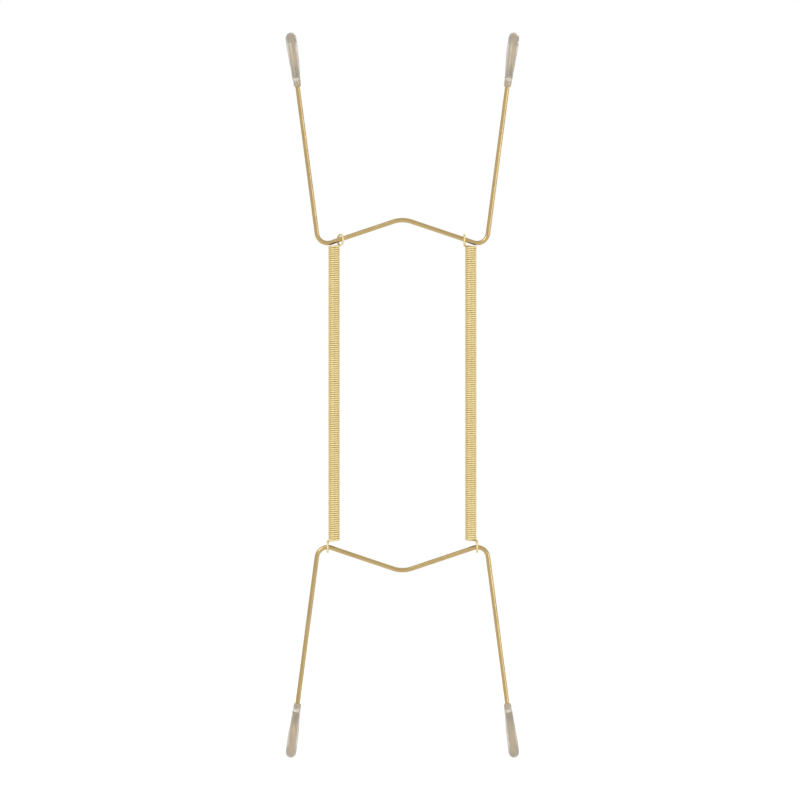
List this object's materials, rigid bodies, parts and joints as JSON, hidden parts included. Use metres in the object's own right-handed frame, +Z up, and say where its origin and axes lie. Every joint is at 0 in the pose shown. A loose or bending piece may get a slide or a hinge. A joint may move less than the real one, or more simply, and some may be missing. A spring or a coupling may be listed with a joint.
{
  "type": "wire plate hanger",
  "caption": "Sprung wire hanger for a wall plate: bent brass-plated wires above and below, joined by close-wound springs, with soft coated hooks that grip the plate's rim.",
  "frame": {"origin": "hang point: under the upper wire's peak, where it rests on a wall hook", "axes": "+Z up along the springs, +X to the right seen from the front, hooks and plate towards -Y"},
  "size_m": [0.0768, 0.0142, 0.2386],
  "materials": {
    "plated_wire": "bright brass plate on drawn steel wire",
    "plated_spring": "pale bright brass plate on spring wire",
    "vinyl_coat": "milky dipped vinyl"
  },
  "bodies": {
    "upper_wire": {"upper_wire": "plated_wire", "upper_left_tip": "vinyl_coat", "upper_right_tip": "vinyl_coat"},
    "left_spring": {"left_spring": "plated_spring"},
    "right_spring": {"right_spring": "plated_spring"},
    "lower_wire": {"lower_wire": "plated_wire", "lower_left_tip": "vinyl_coat", "lower_right_tip": "vinyl_coat"}
  },
  "joints": [
    {"name": "upper_fold", "type": "hinge", "parent": "upper_wire", "child": "left_spring", "pos_m": [0, 0, -0.00561], "axis": [1, 0, 0], "range_deg": [-120, 120]},
    {"name": "spring_stretch", "type": "slide", "parent": "left_spring", "child": "right_spring", "axis": [0, 0, -1], "range_m": [0, 0.218], "stiffness_N_per_m": 600, "springref_m": -0.005, "deforming": ["left_spring", "right_spring"]},
    {"name": "lower_fold", "type": "hinge", "parent": "right_spring", "child": "lower_wire", "pos_m": [0, 0, -0.10718], "axis": [1, 0, 0], "range_deg": [-120, 120]}
  ]
}
